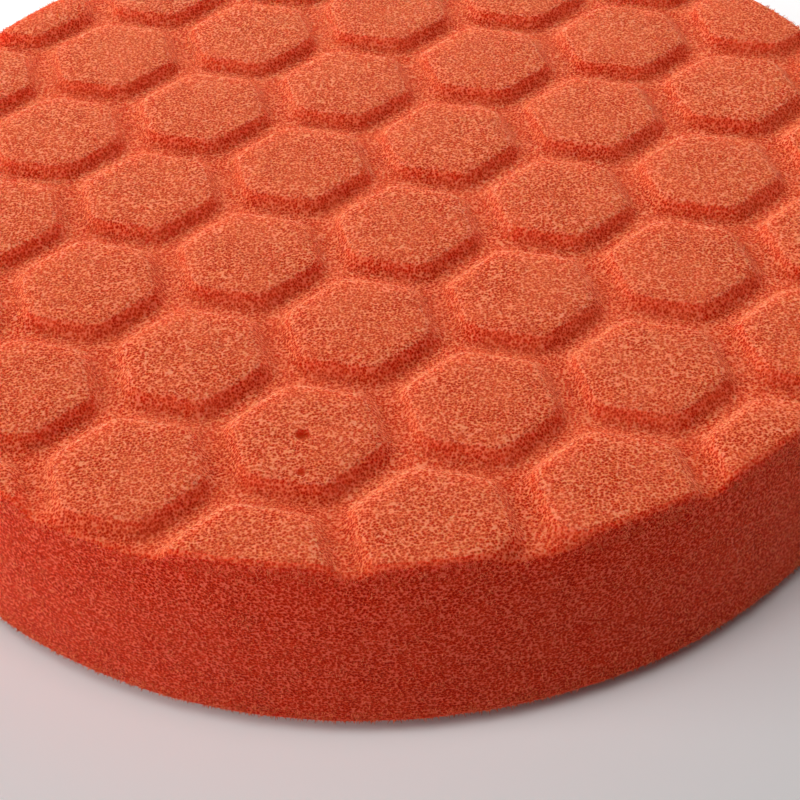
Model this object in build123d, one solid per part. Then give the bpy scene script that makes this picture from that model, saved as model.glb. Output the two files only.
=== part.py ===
"""Foam polishing pad with a hexagon-grooved face and a hook-and-loop back.

The pad lies on its loop back, face up. +Z is the pad's axis and points out of the
working face, the origin is the centre of the loop face, and sizes are millimetres.

From the face down, the bonded layers are:
  foam_disc      open-cell polyurethane foam, with raised hexagonal cells on its face
  adhesive_film  hot-melt film that bonds the fabric to the foam
  barrier_film   thin polyurethane film that keeps the adhesive out of the knit
  loop_ground    warp-knit ground fabric
  loop_pile      brushed loops of the ground fabric, which a hook plate grips
"""

from build123d import *

import os
from math import ceil, hypot, radians, sqrt, tan

# Foam disc
FACE_DIAMETER = 165.0
BACK_DIAMETER = 162.0
FOAM_THICKNESS = 32.0
STRAIGHT_WALL = 10.0  # wall below the face that stays cylindrical before it tapers to the back
BACK_EDGE_RADIUS = 1.2

# Hexagonal cells of the face, laid out on a hexagonal grid with two flats facing X
CELL_PITCH = 24.0
GROOVE_DEPTH = 1.9
GROOVE_FLOOR = 2.0  # flat floor between the feet of two cells
CELL_DRAFT = 45.0  # degrees from vertical
CELL_CORNER_RADIUS = 2.2
CELL_SHOULDER_RADIUS = 4.0
GRID_OFFSET = (2.1, 1.7)  # from the pad's axis to the groove junction nearest to it
SMALLEST_CUT = 1.0  # a cell at the rim counts if the wall leaves this much of it

# Hook-and-loop back
BACKING_DIAMETER = 150.0
BACKING_SEAT = 0.4  # depth of the seat pressed into the foam's back
SEAT_CLEARANCE = 0.25  # round the adhesive film
ADHESIVE_THICKNESS = 0.2
BARRIER_THICKNESS = 0.1
GROUND_THICKNESS = 0.6
PILE_THICKNESS = 1.8
PILE_MARGIN = 0.5  # the cut edge of the ground fabric stands this far past the loops

# Heights above the loop face
PILE_TOP = PILE_THICKNESS
GROUND_TOP = PILE_TOP + GROUND_THICKNESS
BARRIER_TOP = GROUND_TOP + BARRIER_THICKNESS
ADHESIVE_TOP = BARRIER_TOP + ADHESIVE_THICKNESS
FOAM_BACK = ADHESIVE_TOP - BACKING_SEAT
FACE_TOP = FOAM_BACK + FOAM_THICKNESS
GROOVE_BOTTOM = FACE_TOP - GROOVE_DEPTH


def cell_centres():
    """Centres of the grid's cells that the pad's wall leaves in whole or in part."""
    row_step = CELL_PITCH * sqrt(3) / 2
    junction_to_centre = CELL_PITCH / sqrt(3)
    reach = FACE_DIAMETER / 2 + (CELL_PITCH - GROOVE_FLOOR) / 2 - SMALLEST_CUT
    count = ceil(reach / row_step) + 1
    for row in range(-count, count + 1):
        for column in range(-2 * count, 2 * count + 1):
            x = GRID_OFFSET[0] + (column + row / 2) * CELL_PITCH
            y = GRID_OFFSET[1] - junction_to_centre + row * row_step
            if hypot(x, y) < reach:
                yield x, y


def rounded_hexagon(across_flats, corner_radius):
    """A hexagon with rounded corners and two flats facing X."""
    outline = RegularPolygon(across_flats / 2, 6, major_radius=False, rotation=30)
    return fillet(outline.vertices(), corner_radius)


def cell():
    """One raised cell: a drafted hexagonal pad with rounded corners and shoulder, its foot at z = 0."""
    foot_flats = CELL_PITCH - GROOVE_FLOOR
    top_flats = foot_flats - 2 * GROOVE_DEPTH * tan(radians(CELL_DRAFT))
    foot = rounded_hexagon(foot_flats, CELL_CORNER_RADIUS)
    top = Pos(0, 0, GROOVE_DEPTH) * rounded_hexagon(top_flats, CELL_CORNER_RADIUS)
    body = loft([foot, top], ruled=True)
    shoulder = body.faces().sort_by(Axis.Z)[-1].edges()
    return fillet(shoulder, CELL_SHOULDER_RADIUS)


def wall_envelope():
    """The solid inside the pad's wall: straight below the face, then tapering to a rounded back edge."""
    face_radius = FACE_DIAMETER / 2
    back_radius = BACK_DIAMETER / 2
    taper_start = FACE_TOP - STRAIGHT_WALL
    outline = Polyline(
        (0, FOAM_BACK),
        (back_radius, FOAM_BACK),
        (face_radius, taper_start),
        (face_radius, FACE_TOP),
        (0, FACE_TOP),
        close=True,
    )
    section = make_face(outline)
    back_corner = section.vertices().sort_by(Axis.Y)[:2].sort_by(Axis.X)[-1]
    section = fillet(back_corner, BACK_EDGE_RADIUS)
    return revolve(Plane.XZ * section, Axis.Z)


def disc(diameter, bottom, top):
    """A round layer between two heights."""
    return Pos(0, 0, bottom) * extrude(Circle(diameter / 2), top - bottom)


def foam_disc():
    """The foam body: cells on a slab, trimmed by the wall, with the backing's seat in its back."""
    slab = disc(FACE_DIAMETER + CELL_PITCH, FOAM_BACK, GROOVE_BOTTOM)
    one_cell = cell()
    cells = [Pos(x, y, GROOVE_BOTTOM) * one_cell for x, y in cell_centres()]
    seat = disc(BACKING_DIAMETER + 2 * SEAT_CLEARANCE, FOAM_BACK, ADHESIVE_TOP)
    return (slab + cells) & wall_envelope() - seat


def main():
    os.makedirs("parts", exist_ok=True)
    parts = {
        "foam_disc": foam_disc(),
        "adhesive_film": disc(BACKING_DIAMETER, BARRIER_TOP, ADHESIVE_TOP),
        "barrier_film": disc(BACKING_DIAMETER, GROUND_TOP, BARRIER_TOP),
        "loop_ground": disc(BACKING_DIAMETER, PILE_TOP, GROUND_TOP),
        "loop_pile": disc(BACKING_DIAMETER - 2 * PILE_MARGIN, 0, PILE_TOP),
    }
    for name, solid in parts.items():
        export_step(solid, f"parts/{name}.step")


main()
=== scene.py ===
import math

import bpy
import numpy as np
from mathutils import Matrix, Vector


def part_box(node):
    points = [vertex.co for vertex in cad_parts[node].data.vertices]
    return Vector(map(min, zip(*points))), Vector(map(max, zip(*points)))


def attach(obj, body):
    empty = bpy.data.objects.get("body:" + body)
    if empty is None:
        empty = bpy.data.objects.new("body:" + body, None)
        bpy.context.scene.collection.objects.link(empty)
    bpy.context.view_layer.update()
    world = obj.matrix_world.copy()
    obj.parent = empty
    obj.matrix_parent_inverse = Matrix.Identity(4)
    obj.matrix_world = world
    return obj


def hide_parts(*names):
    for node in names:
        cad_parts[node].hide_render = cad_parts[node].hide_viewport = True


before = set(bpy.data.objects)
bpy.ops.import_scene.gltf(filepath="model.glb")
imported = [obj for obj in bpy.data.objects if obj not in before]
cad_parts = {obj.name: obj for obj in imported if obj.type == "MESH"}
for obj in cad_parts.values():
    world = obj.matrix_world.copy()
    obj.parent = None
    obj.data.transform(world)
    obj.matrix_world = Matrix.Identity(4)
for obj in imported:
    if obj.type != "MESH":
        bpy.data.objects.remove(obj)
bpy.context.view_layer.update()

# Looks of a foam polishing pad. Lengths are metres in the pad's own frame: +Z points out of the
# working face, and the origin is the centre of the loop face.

MM = 0.001
FOAM_LOW, FOAM_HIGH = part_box("foam_disc")
GROUND_LOW, GROUND_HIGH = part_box("loop_ground")
PILE_LOW, PILE_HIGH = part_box("loop_pile")
ADHESIVE_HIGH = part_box("adhesive_film")[1]
RNG = np.random.default_rng(42)

# Hexagonal grid of the working face, as in the CAD model
CELL_PITCH = 24 * MM
GROOVE_DEPTH = 1.9 * MM
GRID_OFFSET = (2.1 * MM, 1.7 * MM)  # the groove junction nearest to the axis
CELL_SHOULDER = 8.9 * MM  # half-width across flats where a cell's flank starts
GROOVE_FOOT = 11.0 * MM  # half-width across flats where the flank meets the groove's floor
CORNER_SHARPNESS = 14
CROWN_SHARE = 0.28  # of the groove's depth that a cell's rounded top takes up
CROWN_POWER = 4.5
CELL_UNEVENNESS = 0.12 * MM  # most that one cell stands lower than another
FACE_SET_BACK = 0.1 * MM  # room for the face's waves under the CAD face
FACE_WAVES = {"height": 0.04 * MM, "longest": 30 * MM, "count": 7, "seed": 3}

# Foam wall, from the face down
FACE_RADIUS = FOAM_HIGH.x
BACK_RADIUS = 81 * MM
STRAIGHT_WALL = 10 * MM
BACK_EDGE_RADIUS = 1.2 * MM
RIM_SOFTNESS = 0.5 * MM
UPPER_RINGS = (0.4 * MM, 1.0 * MM)  # depths of the close rings that keep the rim's edge soft
SEAT_RADIUS = 75.25 * MM
FACE_STEP = 0.532 * MM
WALL_STEP = 1.6 * MM
WALL_WAVES = {"height": 0.05 * MM, "longest": 25 * MM, "count": 6, "seed": 5}

# Foam grain
PORE = 0.37 * MM
PORE_JITTER = 0.5  # how far the pores are pushed about, as a share of a pore
PORE_GRAIN = 0.3
PORE_FROM = 0.15  # distance from a pore's centre where it is darkest, over its size
PORE_TO = 0.64  # and where the struts round it begin
STRUT_COUNT = 60000
STRUT_LENGTH = (0.25 * MM, 0.75 * MM)
STRUT_RADIUS = (0.07 * MM, 0.13 * MM)
STRUT_SUNK = 0.06 * MM  # so that a strut's foot starts inside the foam
STRUT_LEAN = 0.55
EDGE_STRUTS = 5  # times as many on the rim and the back edge, which are cut
VOIDS = ((-22.4, -54.0, 1.35), (-24.1, -61.0, 0.8))  # x, y and radius, in millimetres
VOID_STEEPNESS = 0.45  # a void's depth over its radius
VOID_CORE, VOID_EDGE = 0.45, 1.1  # where its colour is full and where it ends, over its radius

# Loop backing
GROUND_RINGS = 60
CUT_RAG = 0.0012  # unevenness of the ground's cut edge, over its radius
LOOP_PITCH = 1.55 * MM
LOOP_WIDTH = 1.2 * MM
LOOP_SCATTER = 0.35  # of the pitch
LOOP_LEAN = 0.5 * MM
LOOP_DROP = (0.75, 0.95)  # of the pile's thickness
LOOP_STEPS = 5
YARN_RADIUS = 0.13 * MM
YARN_SIDES = 3


def smooth(low, high, x):
    """0 below low, 1 above high, and an S curve between."""
    t = np.clip((x - low) / (high - low), 0, 1)
    return t * t * (3 - 2 * t)


# ---------------------------------------------------------------- surface of the foam


def cell_offsets(x, y):
    """Each point's offset from the centre of its grid cell, and that cell's number."""
    row_step = CELL_PITCH * math.sqrt(3) / 2
    x = x - GRID_OFFSET[0]
    y = y - GRID_OFFSET[1] + CELL_PITCH / math.sqrt(3)
    nearest = np.full(x.shape, np.inf)
    u, v, number = np.zeros_like(x), np.zeros_like(x), np.zeros_like(x)
    first_row = np.floor(y / row_step)
    for row in (first_row, first_row + 1):
        for side in (0, 1):
            column = np.floor(x / CELL_PITCH - row / 2) + side
            across = x - (column + row / 2) * CELL_PITCH
            along = y - row * row_step
            distance = across**2 + along**2
            closer = distance < nearest
            nearest = np.where(closer, distance, nearest)
            u, v = np.where(closer, across, u), np.where(closer, along, v)
            number = np.where(closer, column * 17 + row, number)
    return u, v, number


def hexagon_distance(u, v):
    """Distance from a cell's centre, equal along a hexagon with rounded corners."""
    total = np.zeros_like(u)
    for k in range(3):
        angle = math.radians(60 * k)
        total += np.abs(u * math.cos(angle) + v * math.sin(angle)) ** CORNER_SHARPNESS
    return total ** (1 / CORNER_SHARPNESS)


def waviness(x, y, height, longest, count, seed):
    """A gentle random surface, made of waves in random directions."""
    rng = np.random.default_rng(seed)
    total = np.zeros_like(x)
    for _ in range(count):
        angle, phase = rng.uniform(0, 2 * math.pi, 2)
        length = longest * rng.uniform(0.35, 1)
        along = x * math.cos(angle) + y * math.sin(angle)
        total += np.sin(2 * math.pi * along / length + phase)
    return height * total / math.sqrt(count)


def relief(x, y):
    """Height of the working face, measured from the CAD face's plane."""
    u, v, number = cell_offsets(x, y)
    out = hexagon_distance(u, v)
    crown = np.minimum(out / GROOVE_FOOT, 1) ** CROWN_POWER
    flank = smooth(CELL_SHOULDER, GROOVE_FOOT, out)
    depth = GROOVE_DEPTH * (CROWN_SHARE * crown + (1 - CROWN_SHARE) * flank)
    lower = FACE_SET_BACK + CELL_UNEVENNESS * (1 + np.sin(number * 2.4)) / 2
    for void_x, void_y, radius in VOIDS:
        away = np.hypot(x - void_x * MM, y - void_y * MM) / (radius * MM)
        lower = lower + VOID_STEEPNESS * radius * MM * (1 - smooth(0.25, 1, away))
    return -depth - lower + waviness(x, y, **FACE_WAVES)


def wall_profile():
    """Radius and height of each ring under the rim, down the wall and in to the seat."""
    low, top = FOAM_LOW.z, FOAM_HIGH.z
    points = []
    edge = low + BACK_EDGE_RADIUS
    levels = round((top - edge) / WALL_STEP)
    heights = [top - depth for depth in UPPER_RINGS]
    heights += [top + (edge - top) * level / levels for level in range(1, levels + 1)]
    for z in heights:
        taper = np.clip((top - STRAIGHT_WALL - z) / (top - STRAIGHT_WALL - low), 0, 1)
        points.append((FACE_RADIUS + (BACK_RADIUS - FACE_RADIUS) * taper, z))
    r = points[-1][0] - BACK_EDGE_RADIUS
    for turn in (30, 60, 90):
        a = math.radians(turn)
        points.append((r + BACK_EDGE_RADIUS * math.cos(a), edge - BACK_EDGE_RADIUS * math.sin(a)))
    for share in (0.33, 0.66, 1):
        points.append((r + (SEAT_RADIUS - r) * share, low))
    points.append((SEAT_RADIUS, ADHESIVE_HIGH.z))
    return points


def disc_rings(rings, radius, last_step):
    """Points and triangles of a disc, with six more points on each ring than on the last."""
    points = [(0.0, 0.0)]
    starts = [0]
    for k in range(1, rings + 1):
        starts.append(len(points))
        angles = 2 * math.pi * np.arange(6 * k) / (6 * k)
        r = radius if k == rings else (radius - last_step) * k / (rings - 1)
        points += list(zip(r * np.cos(angles), r * np.sin(angles)))
    faces = []
    for k in range(1, rings + 1):
        inner_count, outer_count = max(1, 6 * (k - 1)), 6 * k
        for side in range(6):
            for j in range(k):
                outer = starts[k] + side * k + j
                after = starts[k] + (side * k + j + 1) % outer_count
                inner = side * (k - 1) + j
                faces.append((starts[k - 1] + inner % inner_count, outer, after))
                if j < k - 1:
                    nearer = starts[k - 1] + inner % inner_count
                    faces.append((nearer, after, starts[k - 1] + (inner + 1) % inner_count))
    return np.array(points), faces, starts[-1]


def foam_surface():
    """Vertices and faces of the whole foam disc."""
    rings = round(FACE_RADIUS / FACE_STEP)
    flat, faces, rim_start = disc_rings(rings, FACE_RADIUS, RIM_SOFTNESS)
    z = FOAM_HIGH.z + relief(flat[:, 0], flat[:, 1])
    z[rim_start:] -= RIM_SOFTNESS
    layers = [np.column_stack([flat, z])]
    rim = layers[0][rim_start:]
    count = len(rim)
    angles = np.arctan2(rim[:, 1], rim[:, 0])
    ring = np.arange(count)
    above, start = rim_start, len(flat)
    for r, height in wall_profile():
        share = smooth(FOAM_HIGH.z - 3 * GROOVE_DEPTH, FOAM_HIGH.z, np.array(height))
        level = height + (rim[:, 2] - FOAM_HIGH.z) * share
        around = r + waviness(angles * FACE_RADIUS, level * 3, **WALL_WAVES)
        layers.append(np.column_stack([around * np.cos(angles), around * np.sin(angles), level]))
        after = (ring + 1) % count
        quads = np.column_stack([above + ring, start + ring, start + after, above + after])
        faces += quads.tolist()
        above, start = start, start + count
    layers.append(np.array([[0.0, 0.0, ADHESIVE_HIGH.z]]))
    faces += [(above + int(i), start, above + (int(i) + 1) % count) for i in ring]
    return np.vstack(layers), faces


# ---------------------------------------------------------------- mesh pieces


def mesh_piece(name, vertices, faces, material):
    mesh = bpy.data.meshes.new(name)
    mesh.from_pydata(np.asarray(vertices).tolist(), [], faces)
    mesh.shade_smooth()
    mesh.materials.append(material)
    piece = bpy.data.objects.new(name, mesh)
    bpy.context.scene.collection.objects.link(piece)
    return piece


def make_foam():
    vertices, faces = foam_surface()
    foam = mesh_piece("foam_body", vertices, faces, foam_material())
    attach(foam, "root")
    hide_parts("foam_disc")
    return foam


def surface_samples(piece, count):
    """Random points on the foam's faces outside its seat, with the faces' normals."""
    mesh = piece.data
    mesh.calc_loop_triangles()
    corners = np.zeros(len(mesh.loop_triangles) * 3, dtype=np.int64)
    mesh.loop_triangles.foreach_get("vertices", corners)
    points = np.zeros(len(mesh.vertices) * 3)
    mesh.vertices.foreach_get("co", points)
    a, b, c = points.reshape(-1, 3)[corners.reshape(-1, 3)].transpose(1, 0, 2)
    normals = np.cross(b - a, c - a)
    areas = np.linalg.norm(normals, axis=1)
    r, z = np.hypot(a[:, 0], a[:, 1]), a[:, 2]
    inside_seat = (r < SEAT_RADIUS + MM) & (z < FOAM_LOW.z + MM)
    at_rim = (r > FACE_RADIUS - MM) & (z > FOAM_HIGH.z - 3 * MM)
    at_back_edge = (r > BACK_RADIUS - 2 * MM) & (z < FOAM_LOW.z + 3 * MM)
    weights = np.where(inside_seat, 0, areas) * np.where(at_rim | at_back_edge, EDGE_STRUTS, 1)
    chosen = RNG.choice(len(areas), count, p=weights / weights.sum())
    s, t = RNG.random((2, count))
    flip = s + t > 1
    s, t = np.where(flip, 1 - s, s)[:, None], np.where(flip, 1 - t, t)[:, None]
    at = a[chosen] + s * (b - a)[chosen] + t * (c - a)[chosen]
    return at, normals[chosen] / areas[chosen][:, None]


def unit(vectors):
    return vectors / np.linalg.norm(vectors, axis=1, keepdims=True)


def make_struts(foam):
    """Cut ends of the foam's cell struts, which stand a little out of its skin."""
    at, normals = surface_samples(foam, STRUT_COUNT)
    lean = RNG.normal(size=at.shape)
    length = RNG.uniform(*STRUT_LENGTH, len(at))[:, None]
    forward = unit(normals + STRUT_LEAN * lean)
    side = unit(np.cross(forward, RNG.normal(size=at.shape)))
    other = np.cross(forward, side)
    radius = RNG.uniform(*STRUT_RADIUS, len(at))[:, None]
    foot = at - normals * STRUT_SUNK
    corners = []
    for k in range(3):
        angle = 2 * math.pi * k / 3
        corners.append(foot + radius * (side * math.cos(angle) + other * math.sin(angle)))
    tips = foot + forward * length
    vertices = np.stack(corners + [tips], axis=1).reshape(-1, 3)
    first = 4 * np.arange(len(at))
    faces = []
    for k in range(3):
        faces.append(np.column_stack([first + k, first + (k + 1) % 3, first + 3]))
    faces = np.vstack(faces).tolist()
    struts = mesh_piece("foam_strut_ends", vertices, faces, strut_material())
    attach(struts, "root")
    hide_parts("foam_disc")


def make_ground():
    """The knitted ground fabric, a disc with a slightly uneven cut edge."""
    radius = GROUND_HIGH.x
    flat, faces, rim_start = disc_rings(GROUND_RINGS, radius, radius / GROUND_RINGS)
    count = len(flat) - rim_start
    angles = np.arctan2(flat[:, 1], flat[:, 0])
    cut = 1 - CUT_RAG * (1 + np.sin(angles * 97) * np.sin(angles * 41 + 1)) / 2
    cut[:rim_start] = 1
    flat = flat * cut[:, None]
    top = np.column_stack([flat, np.full(len(flat), GROUND_HIGH.z)])
    bottom = np.column_stack([flat, np.full(len(flat), GROUND_LOW.z)])
    faces += [(c + len(flat), b + len(flat), a + len(flat)) for a, b, c in list(faces)]
    for i in range(count):
        a, b = rim_start + i, rim_start + (i + 1) % count
        faces.append((a, a + len(flat), b + len(flat), b))
    ground = mesh_piece("knit_ground", np.vstack([top, bottom]), faces, knit_material())
    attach(ground, "root")
    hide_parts("loop_ground")


def loop_feet():
    """Places of the loops on a triangular grid, each moved a little at random."""
    radius = PILE_HIGH.x - LOOP_WIDTH
    reach = 2 * (int(radius / LOOP_PITCH) + 2)
    row, column = np.meshgrid(np.arange(-reach, reach), np.arange(-reach, reach))
    x = (column + row / 2).ravel() * LOOP_PITCH
    y = row.ravel() * LOOP_PITCH * math.sqrt(3) / 2
    keep = np.hypot(x, y) < radius
    feet = np.column_stack([x[keep], y[keep]])
    return feet + RNG.uniform(-LOOP_SCATTER, LOOP_SCATTER, feet.shape) * LOOP_PITCH


def make_pile():
    """Brushed loops of yarn that hang under the ground fabric."""
    feet = loop_feet()
    count = len(feet)
    turn = RNG.uniform(0, math.pi, count)
    across = np.column_stack([np.cos(turn), np.sin(turn), np.zeros(count)])
    square = np.column_stack([-across[:, 1], across[:, 0], np.zeros(count)])
    lean = np.column_stack([RNG.uniform(-LOOP_LEAN, LOOP_LEAN, (count, 2)), np.zeros(count)])
    drop = (PILE_HIGH.z - PILE_LOW.z) * RNG.uniform(*LOOP_DROP, count)[:, None]
    down = np.array([0, 0, -1])
    base = np.column_stack([feet, np.full(count, PILE_HIGH.z)])
    rings = []
    for step in np.linspace(0, math.pi, LOOP_STEPS):
        centre = base - across * math.cos(step) * LOOP_WIDTH / 2 + lean * math.sin(step)
        centre = centre + down * drop * math.sin(step)
        out = across * -math.cos(step) + down * math.sin(step)
        flat = np.cross(np.cross(out, square), out)
        for k in range(YARN_SIDES):
            angle = 2 * math.pi * k / YARN_SIDES
            rings.append(centre + YARN_RADIUS * (out * math.cos(angle) + flat * math.sin(angle)))
    vertices = np.stack(rings, axis=1).reshape(-1, 3)
    vertices[:, 2] = np.clip(vertices[:, 2], PILE_LOW.z, PILE_HIGH.z)
    first = YARN_SIDES * LOOP_STEPS * np.arange(count)
    faces = []
    for step in range(LOOP_STEPS - 1):
        for k in range(YARN_SIDES):
            a, b = YARN_SIDES * step + k, YARN_SIDES * step + (k + 1) % YARN_SIDES
            corners = [first + a, first + b, first + b + YARN_SIDES, first + a + YARN_SIDES]
            faces.append(np.column_stack(corners))
    pile = mesh_piece("loop_pile_yarns", vertices, np.vstack(faces).tolist(), yarn_material())
    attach(pile, "root")
    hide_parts("loop_pile")


# ---------------------------------------------------------------- materials


class Tree:
    """A material's node tree, with short ways to add nodes."""

    def __init__(self, name):
        self.material = bpy.data.materials.new(name)
        self.material.use_nodes = True
        self.tree = self.material.node_tree
        self.shader = self.tree.nodes["Principled BSDF"]

    def node(self, kind, inputs=None, **settings):
        made = self.tree.nodes.new("ShaderNode" + kind)
        for name, value in settings.items():
            setattr(made, name, value)
        for socket, value in (inputs or {}).items():
            self.put(made.inputs[socket], value)
        return made

    def put(self, socket, value):
        if isinstance(value, bpy.types.NodeSocket):
            self.tree.links.new(value, socket)
        else:
            socket.default_value = value

    def finish(self, **inputs):
        for name, value in inputs.items():
            self.put(self.shader.inputs[name.replace("_", " ")], value)
        return self.material

    def math(self, operation, *values):
        return self.node("Math", dict(enumerate(values)), operation=operation).outputs[0]

    def vector(self, operation, *values):
        inputs = {}
        for index, value in enumerate(values):
            scale = operation == "SCALE" and index == 1
            inputs["Scale" if scale else index] = value
        return self.node("VectorMath", inputs, operation=operation).outputs[0]

    def ramp(self, value, low, high, start=0.0, end=1.0):
        """Gives start where value is low or less, end where it is high or more."""
        inputs = {"Value": value, "From Min": low, "From Max": high, "To Min": start, "To Max": end}
        return self.node("MapRange", inputs, interpolation_type="SMOOTHSTEP").outputs[0]

    def mix(self, share, first, second):
        inputs = {0: share, 6: first, 7: second}
        return self.node("Mix", inputs, data_type="RGBA").outputs[2]

    def noise(self, at, scale, detail=2.0, roughness=0.5):
        inputs = {"Vector": at, "Scale": scale, "Detail": detail, "Roughness": roughness}
        return self.node("TexNoise", inputs).outputs

    def height_of(self, at):
        return self.node("SeparateXYZ", {0: at}).outputs[2]

    def bump(self, height, distance, strength):
        inputs = {"Height": height, "Distance": distance, "Strength": strength}
        return self.node("Bump", inputs).outputs[0]


# Colours of the foam on the cells' tops; redder, darker copies on their flanks and groove floors,
# which are painted shade; and on the wall and back, the foam's own tone with painted shade in it
TOP_STRUT = (0.70, 0.130, 0.047, 1)
TOP_PIT = (0.42, 0.016, 0.002, 1)
# The top's speck colour, also used as the painted highlight on the cells' upper edges
TOP_SPECK_AND_HIGHLIGHT = (0.84, 0.275, 0.145, 1)
# Painted shade: saturated, darker red copies of the top's colours, laid on the flanks and groove
# floors
PAINTED_SHADE_STRUT = (0.88, 0.080, 0.022, 1)
PAINTED_SHADE_PIT = (0.58, 0.008, 0.001, 1)
PAINTED_SHADE_SPECK = (0.90, 0.190, 0.090, 1)
# The wall and back: the foam's own tone, darkened and reddened by painted shade
WALL_STRUT_AND_SHADE = (0.64, 0.042, 0.012, 1)
WALL_PIT_AND_SHADE = (0.35, 0.004, 0.001, 1)
WALL_SPECK_AND_SHADE = (0.82, 0.155, 0.092, 1)
VOID_COLOUR = (0.52, 0.031, 0.005, 1)

# Where those colours begin and end, by the upward part of the surface's normal
WALL_NORMAL = (0.1, 0.6)
FLANK_SHADE_NORMAL = (0.60, 0.96)
# Painted highlight on the cells' upper edges, where the surface rounds over from top to flank
HIGHLIGHT_FROM_NORMAL = (0.86, 0.94)
HIGHLIGHT_TO_NORMAL = (0.965, 0.992)
# Strengths of the painted shade on the flanks and in the groove floors
FLANK_SHADE_STRENGTH = 0.42
GROOVE_SHADE_STRENGTH = 0.35
# Strength of the painted highlight on the upper edges
EDGE_HIGHLIGHT_STRENGTH = 0.6


def foam_zones(m, at):
    """Shares of painted shade on the cells' flanks and groove floors, of painted highlight on their
    upper edges, and of the wall, whose colours hold painted shade too.
    """
    normal = m.height_of(m.node("NewGeometry").outputs["True Normal"])
    level = m.height_of(at)
    top = FOAM_HIGH.z
    # Painted shade: the deeper half of each groove and the steeper flanks take the redder, darker
    # flank colours
    groove = m.ramp(level, top - GROOVE_DEPTH, top - 0.5 * GROOVE_DEPTH, GROOVE_SHADE_STRENGTH, 0.0)
    flank = m.math("MAXIMUM", m.ramp(normal, *FLANK_SHADE_NORMAL, FLANK_SHADE_STRENGTH, 0.0), groove)
    # Painted highlight: high on the cells, where the surface rounds over from the top into the
    # flank, the colour is paled towards the speck colour
    high = m.ramp(level, top - 0.6 * GROOVE_DEPTH, top - 0.3 * GROOVE_DEPTH)
    steep = m.ramp(normal, *HIGHLIGHT_FROM_NORMAL, 0.0, EDGE_HIGHLIGHT_STRENGTH)
    flat = m.ramp(normal, *HIGHLIGHT_TO_NORMAL, 1.0, 0.0)
    edge = m.math("MULTIPLY", m.math("MULTIPLY", steep, flat), high)
    # Share of the wall, which takes the wall colours with their painted shade
    wall = m.ramp(normal, *WALL_NORMAL, 1.0, 0.0)
    return flank, edge, wall


def foam_material():
    """Open-cell foam: pale struts round dark pores, mottled, with two larger voids in the face;
    painted shade on the flanks, groove floors and wall, and a painted highlight on the cells' upper
    edges.
    """
    m = Tree("orange_foam")
    at = m.node("TexCoord").outputs["Object"]
    shift = m.vector("SUBTRACT", m.noise(at, 1400, 1.0)["Color"], (0.5, 0.5, 0.5))
    moved = m.vector("ADD", at, m.vector("SCALE", shift, PORE_JITTER * PORE))
    away = m.node("TexVoronoi", {"Vector": moved, "Scale": 1 / PORE}).outputs["Distance"]
    grain = m.math("SUBTRACT", m.noise(at, 3000, 1.0)["Fac"], 0.5)
    away = m.math("ADD", away, m.math("MULTIPLY", grain, PORE_GRAIN))
    patch = m.ramp(m.noise(at, 160, 2.0)["Fac"], 0.35, 0.65, 0.8, 1.1)
    pore = m.math("MULTIPLY", m.ramp(away, PORE_FROM, PORE_TO, 1.0, 0.0), patch)
    speck = m.ramp(away, PORE_TO - 0.08, PORE_TO + 0.14, 0.0, 0.7)
    flank, edge, wall = foam_zones(m, at)
    # Painted shade on the flanks, groove floors and wall, and a painted highlight on the cells'
    # upper edges, are mixed into the foam's own colours here
    strut = m.mix(edge, m.mix(flank, TOP_STRUT, PAINTED_SHADE_STRUT), TOP_SPECK_AND_HIGHLIGHT)
    strut = m.mix(wall, strut, WALL_STRUT_AND_SHADE)
    pit = m.mix(wall, m.mix(flank, TOP_PIT, PAINTED_SHADE_PIT), WALL_PIT_AND_SHADE)
    bright = m.mix(wall, m.mix(flank, TOP_SPECK_AND_HIGHLIGHT, PAINTED_SHADE_SPECK), WALL_SPECK_AND_SHADE)
    colour = m.mix(speck, m.mix(pore, strut, pit), bright)
    hole = 0.0
    for x, y, radius in VOIDS:
        centre = (x * MM, y * MM, FOAM_HIGH.z - (0.2 + 0.4 * radius) * MM)
        reach = m.node("VectorMath", {0: moved, 1: centre}, operation="DISTANCE").outputs["Value"]
        full, gone = VOID_CORE * radius * MM, VOID_EDGE * radius * MM
        hole = m.math("MAXIMUM", m.ramp(reach, full, gone, 1.0, 0.0), hole)
    height = m.math("SUBTRACT", m.math("MULTIPLY", speck, 0.5), pore)
    return m.finish(
        Base_Color=m.mix(hole, colour, VOID_COLOUR),
        Roughness=0.85,
        Specular_IOR_Level=0.03,
        Normal=m.bump(height, 0.16 * MM, 0.6),
        Subsurface_Weight=1.0,
        Subsurface_Radius=(7.0, 0.3, 0.15),
        Subsurface_Scale=1 * MM,
        Sheen_Weight=0.1,
        Sheen_Roughness=0.3,
        Sheen_Tint=(1, 0.78, 0.5, 1),
    )


def strut_material():
    """The same foam, where light comes through thin struts."""
    m = Tree("orange_foam_struts")
    at = m.node("TexCoord").outputs["Object"]
    patch = m.ramp(m.noise(at, 900, 1.0)["Fac"], 0.3, 0.7)
    colour = m.mix(patch, (0.62, 0.07, 0.020, 1), (0.90, 0.21, 0.09, 1))
    return m.finish(
        Base_Color=colour,
        Roughness=0.8,
        Specular_IOR_Level=0.1,
    )


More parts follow.
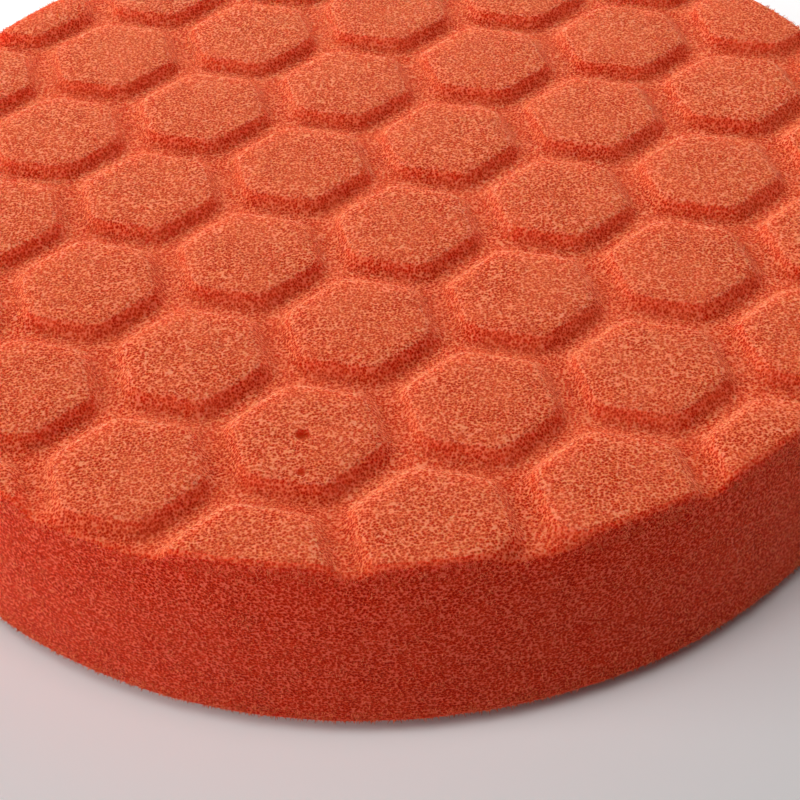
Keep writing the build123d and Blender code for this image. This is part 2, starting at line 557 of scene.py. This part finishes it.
def knit_material():
    """Warp knit of fine off-white nylon: columns of stitches, crossed by courses."""
    m = Tree("knit_ground")
    at = m.node("TexCoord").outputs["Object"]
    shift = m.vector("SUBTRACT", m.noise(at, 300, 2.0)["Color"], (0.5, 0.5, 0.5))
    moved = m.vector("ADD", at, m.vector("SCALE", shift, 0.2 * MM))
    split = m.node("SeparateXYZ", {0: moved}).outputs
    wale = m.math("SINE", m.math("MULTIPLY", split[0], 2 * math.pi / (0.9 * MM)))
    course = m.math("SINE", m.math("MULTIPLY", split[1], 2 * math.pi / (0.7 * MM)))
    stitch = m.math("ADD", wale, m.math("MULTIPLY", course, 0.6))
    shade = m.ramp(stitch, -1.4, 1.2)
    dirt = m.ramp(m.noise(at, 60, 3.0)["Fac"], 0.4, 0.75)
    colour = m.mix(shade, (0.42, 0.41, 0.38, 1), (0.80, 0.79, 0.75, 1))
    colour = m.mix(m.math("MULTIPLY", dirt, 0.25), colour, (0.62, 0.58, 0.50, 1))
    return m.finish(
        Base_Color=colour,
        Roughness=m.ramp(shade, 0.0, 1.0, 0.8, 0.6),
        Normal=m.bump(stitch, 0.1 * MM, 0.5),
        Sheen_Weight=0.3,
    )


def yarn_material():
    """Soft white nylon yarn, with fine fibres along it."""
    m = Tree("loop_pile")
    at = m.node("TexCoord").outputs["Object"]
    fibre = m.noise(at, 6000, 2.0)["Fac"]
    patch = m.ramp(m.noise(at, 120, 2.0)["Fac"], 0.35, 0.7)
    colour = m.mix(patch, (0.66, 0.65, 0.61, 1), (0.84, 0.83, 0.80, 1))
    return m.finish(
        Base_Color=colour,
        Roughness=m.ramp(fibre, 0.3, 0.7, 0.55, 0.8),
        Normal=m.bump(fibre, 0.03 * MM, 0.4),
        Sheen_Weight=0.4,
    )


def adhesive_material():
    """Hot-melt adhesive: a cloudy amber web with a soft gloss."""
    m = Tree("hot_melt_adhesive")
    at = m.node("TexCoord").outputs["Object"]
    cloud = m.ramp(m.noise(at, 240, 4.0)["Fac"], 0.35, 0.65)
    colour = m.mix(cloud, (0.62, 0.46, 0.27, 1), (0.80, 0.70, 0.52, 1))
    return m.finish(
        Base_Color=colour,
        Roughness=m.ramp(cloud, 0.0, 1.0, 0.28, 0.5),
        Normal=m.bump(cloud, 0.05 * MM, 0.4),
    )


def barrier_material():
    """Thin milky polyurethane film with faint wrinkles."""
    m = Tree("barrier_film")
    at = m.node("TexCoord").outputs["Object"]
    wrinkle = m.noise(at, 180, 5.0, 0.6)["Fac"]
    colour = m.mix(m.ramp(wrinkle, 0.4, 0.6), (0.70, 0.71, 0.70, 1), (0.82, 0.82, 0.80, 1))
    return m.finish(
        Base_Color=colour,
        Roughness=m.ramp(wrinkle, 0.35, 0.65, 0.22, 0.36),
        Normal=m.bump(wrinkle, 0.05 * MM, 0.3),
    )


def finish_films():
    """Gives the two CAD films their materials."""
    materials = {"adhesive_film": adhesive_material(), "barrier_film": barrier_material()}
    for node, material in materials.items():
        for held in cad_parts[node].material_slots:
            held.material = material


# ---------------------------------------------------------------- stage, lights and camera

# Each light's place, diameter and power. All point at the pad.
LIGHTS = {
    "key": ((-0.02, 0.95, 0.64), 0.45, 13.2),
    "top": ((-0.10, -0.30, 1.0), 0.6, 3.4),
    "fill": ((-0.95, -0.15, 0.40), 0.7, 6.2),
    "side": ((0.90, -0.25, 0.35), 0.7, 0.5),
}
WORLD_STRENGTH = 0.07
FLOOR_HALF_WIDTH = 4.0
CAMERA_AT = (-48.8 * MM, -246.4 * MM, FOAM_HIGH.z + 173.7 * MM)
CAMERA_HEADING = math.radians(11.677)  # from +Y towards +X
CAMERA_DOWN = math.radians(41.089)
CAMERA_ROLL = math.radians(-3.284)
FOCAL_LENGTH = 88.6
SENSOR_WIDTH = 36


def make_stage():
    s = FLOOR_HALF_WIDTH
    corners = [(-s, -s, 0), (s, -s, 0), (s, s, 0), (-s, s, 0)]
    material = Tree("floor").finish(Base_Color=(0.94, 0.94, 0.94, 1), Roughness=0.9)
    mesh_piece("floor", corners, [(0, 1, 2, 3)], material)


def area_light(name, origin, size, power):
    light = bpy.data.lights.new(name, "AREA")
    light.shape = "DISK"
    light.size = size
    light.energy = power
    placed = bpy.data.objects.new(name, light)
    placed.location = origin
    placed.rotation_euler = (-Vector(origin)).to_track_quat("-Z", "Y").to_euler()
    bpy.context.scene.collection.objects.link(placed)


def make_lights():
    for name, (origin, size, power) in LIGHTS.items():
        area_light(name, origin, size, power)
    world = bpy.data.worlds.new("studio")
    bpy.context.scene.world = world
    world.use_nodes = True
    background = world.node_tree.nodes["Background"]
    background.inputs["Color"].default_value = (1, 1, 1, 1)
    background.inputs["Strength"].default_value = WORLD_STRENGTH
    bpy.context.scene.view_settings.view_transform = "Standard"


def make_camera():
    data = bpy.data.cameras.new("camera")
    data.lens = FOCAL_LENGTH
    data.sensor_width = SENSOR_WIDTH
    data.clip_start = 0.01
    camera = bpy.data.objects.new("camera", data)
    bpy.context.scene.collection.objects.link(camera)
    bpy.context.scene.camera = camera
    turn = Matrix.Rotation(-CAMERA_HEADING, 4, "Z")
    tilt = Matrix.Rotation(math.pi / 2 - CAMERA_DOWN, 4, "X")
    roll = Matrix.Rotation(CAMERA_ROLL, 4, "Z")
    camera.matrix_world = Matrix.Translation(CAMERA_AT) @ turn @ tilt @ roll


make_camera()
make_struts(make_foam())
make_pile()
make_ground()
finish_films()
make_stage()
make_lights()
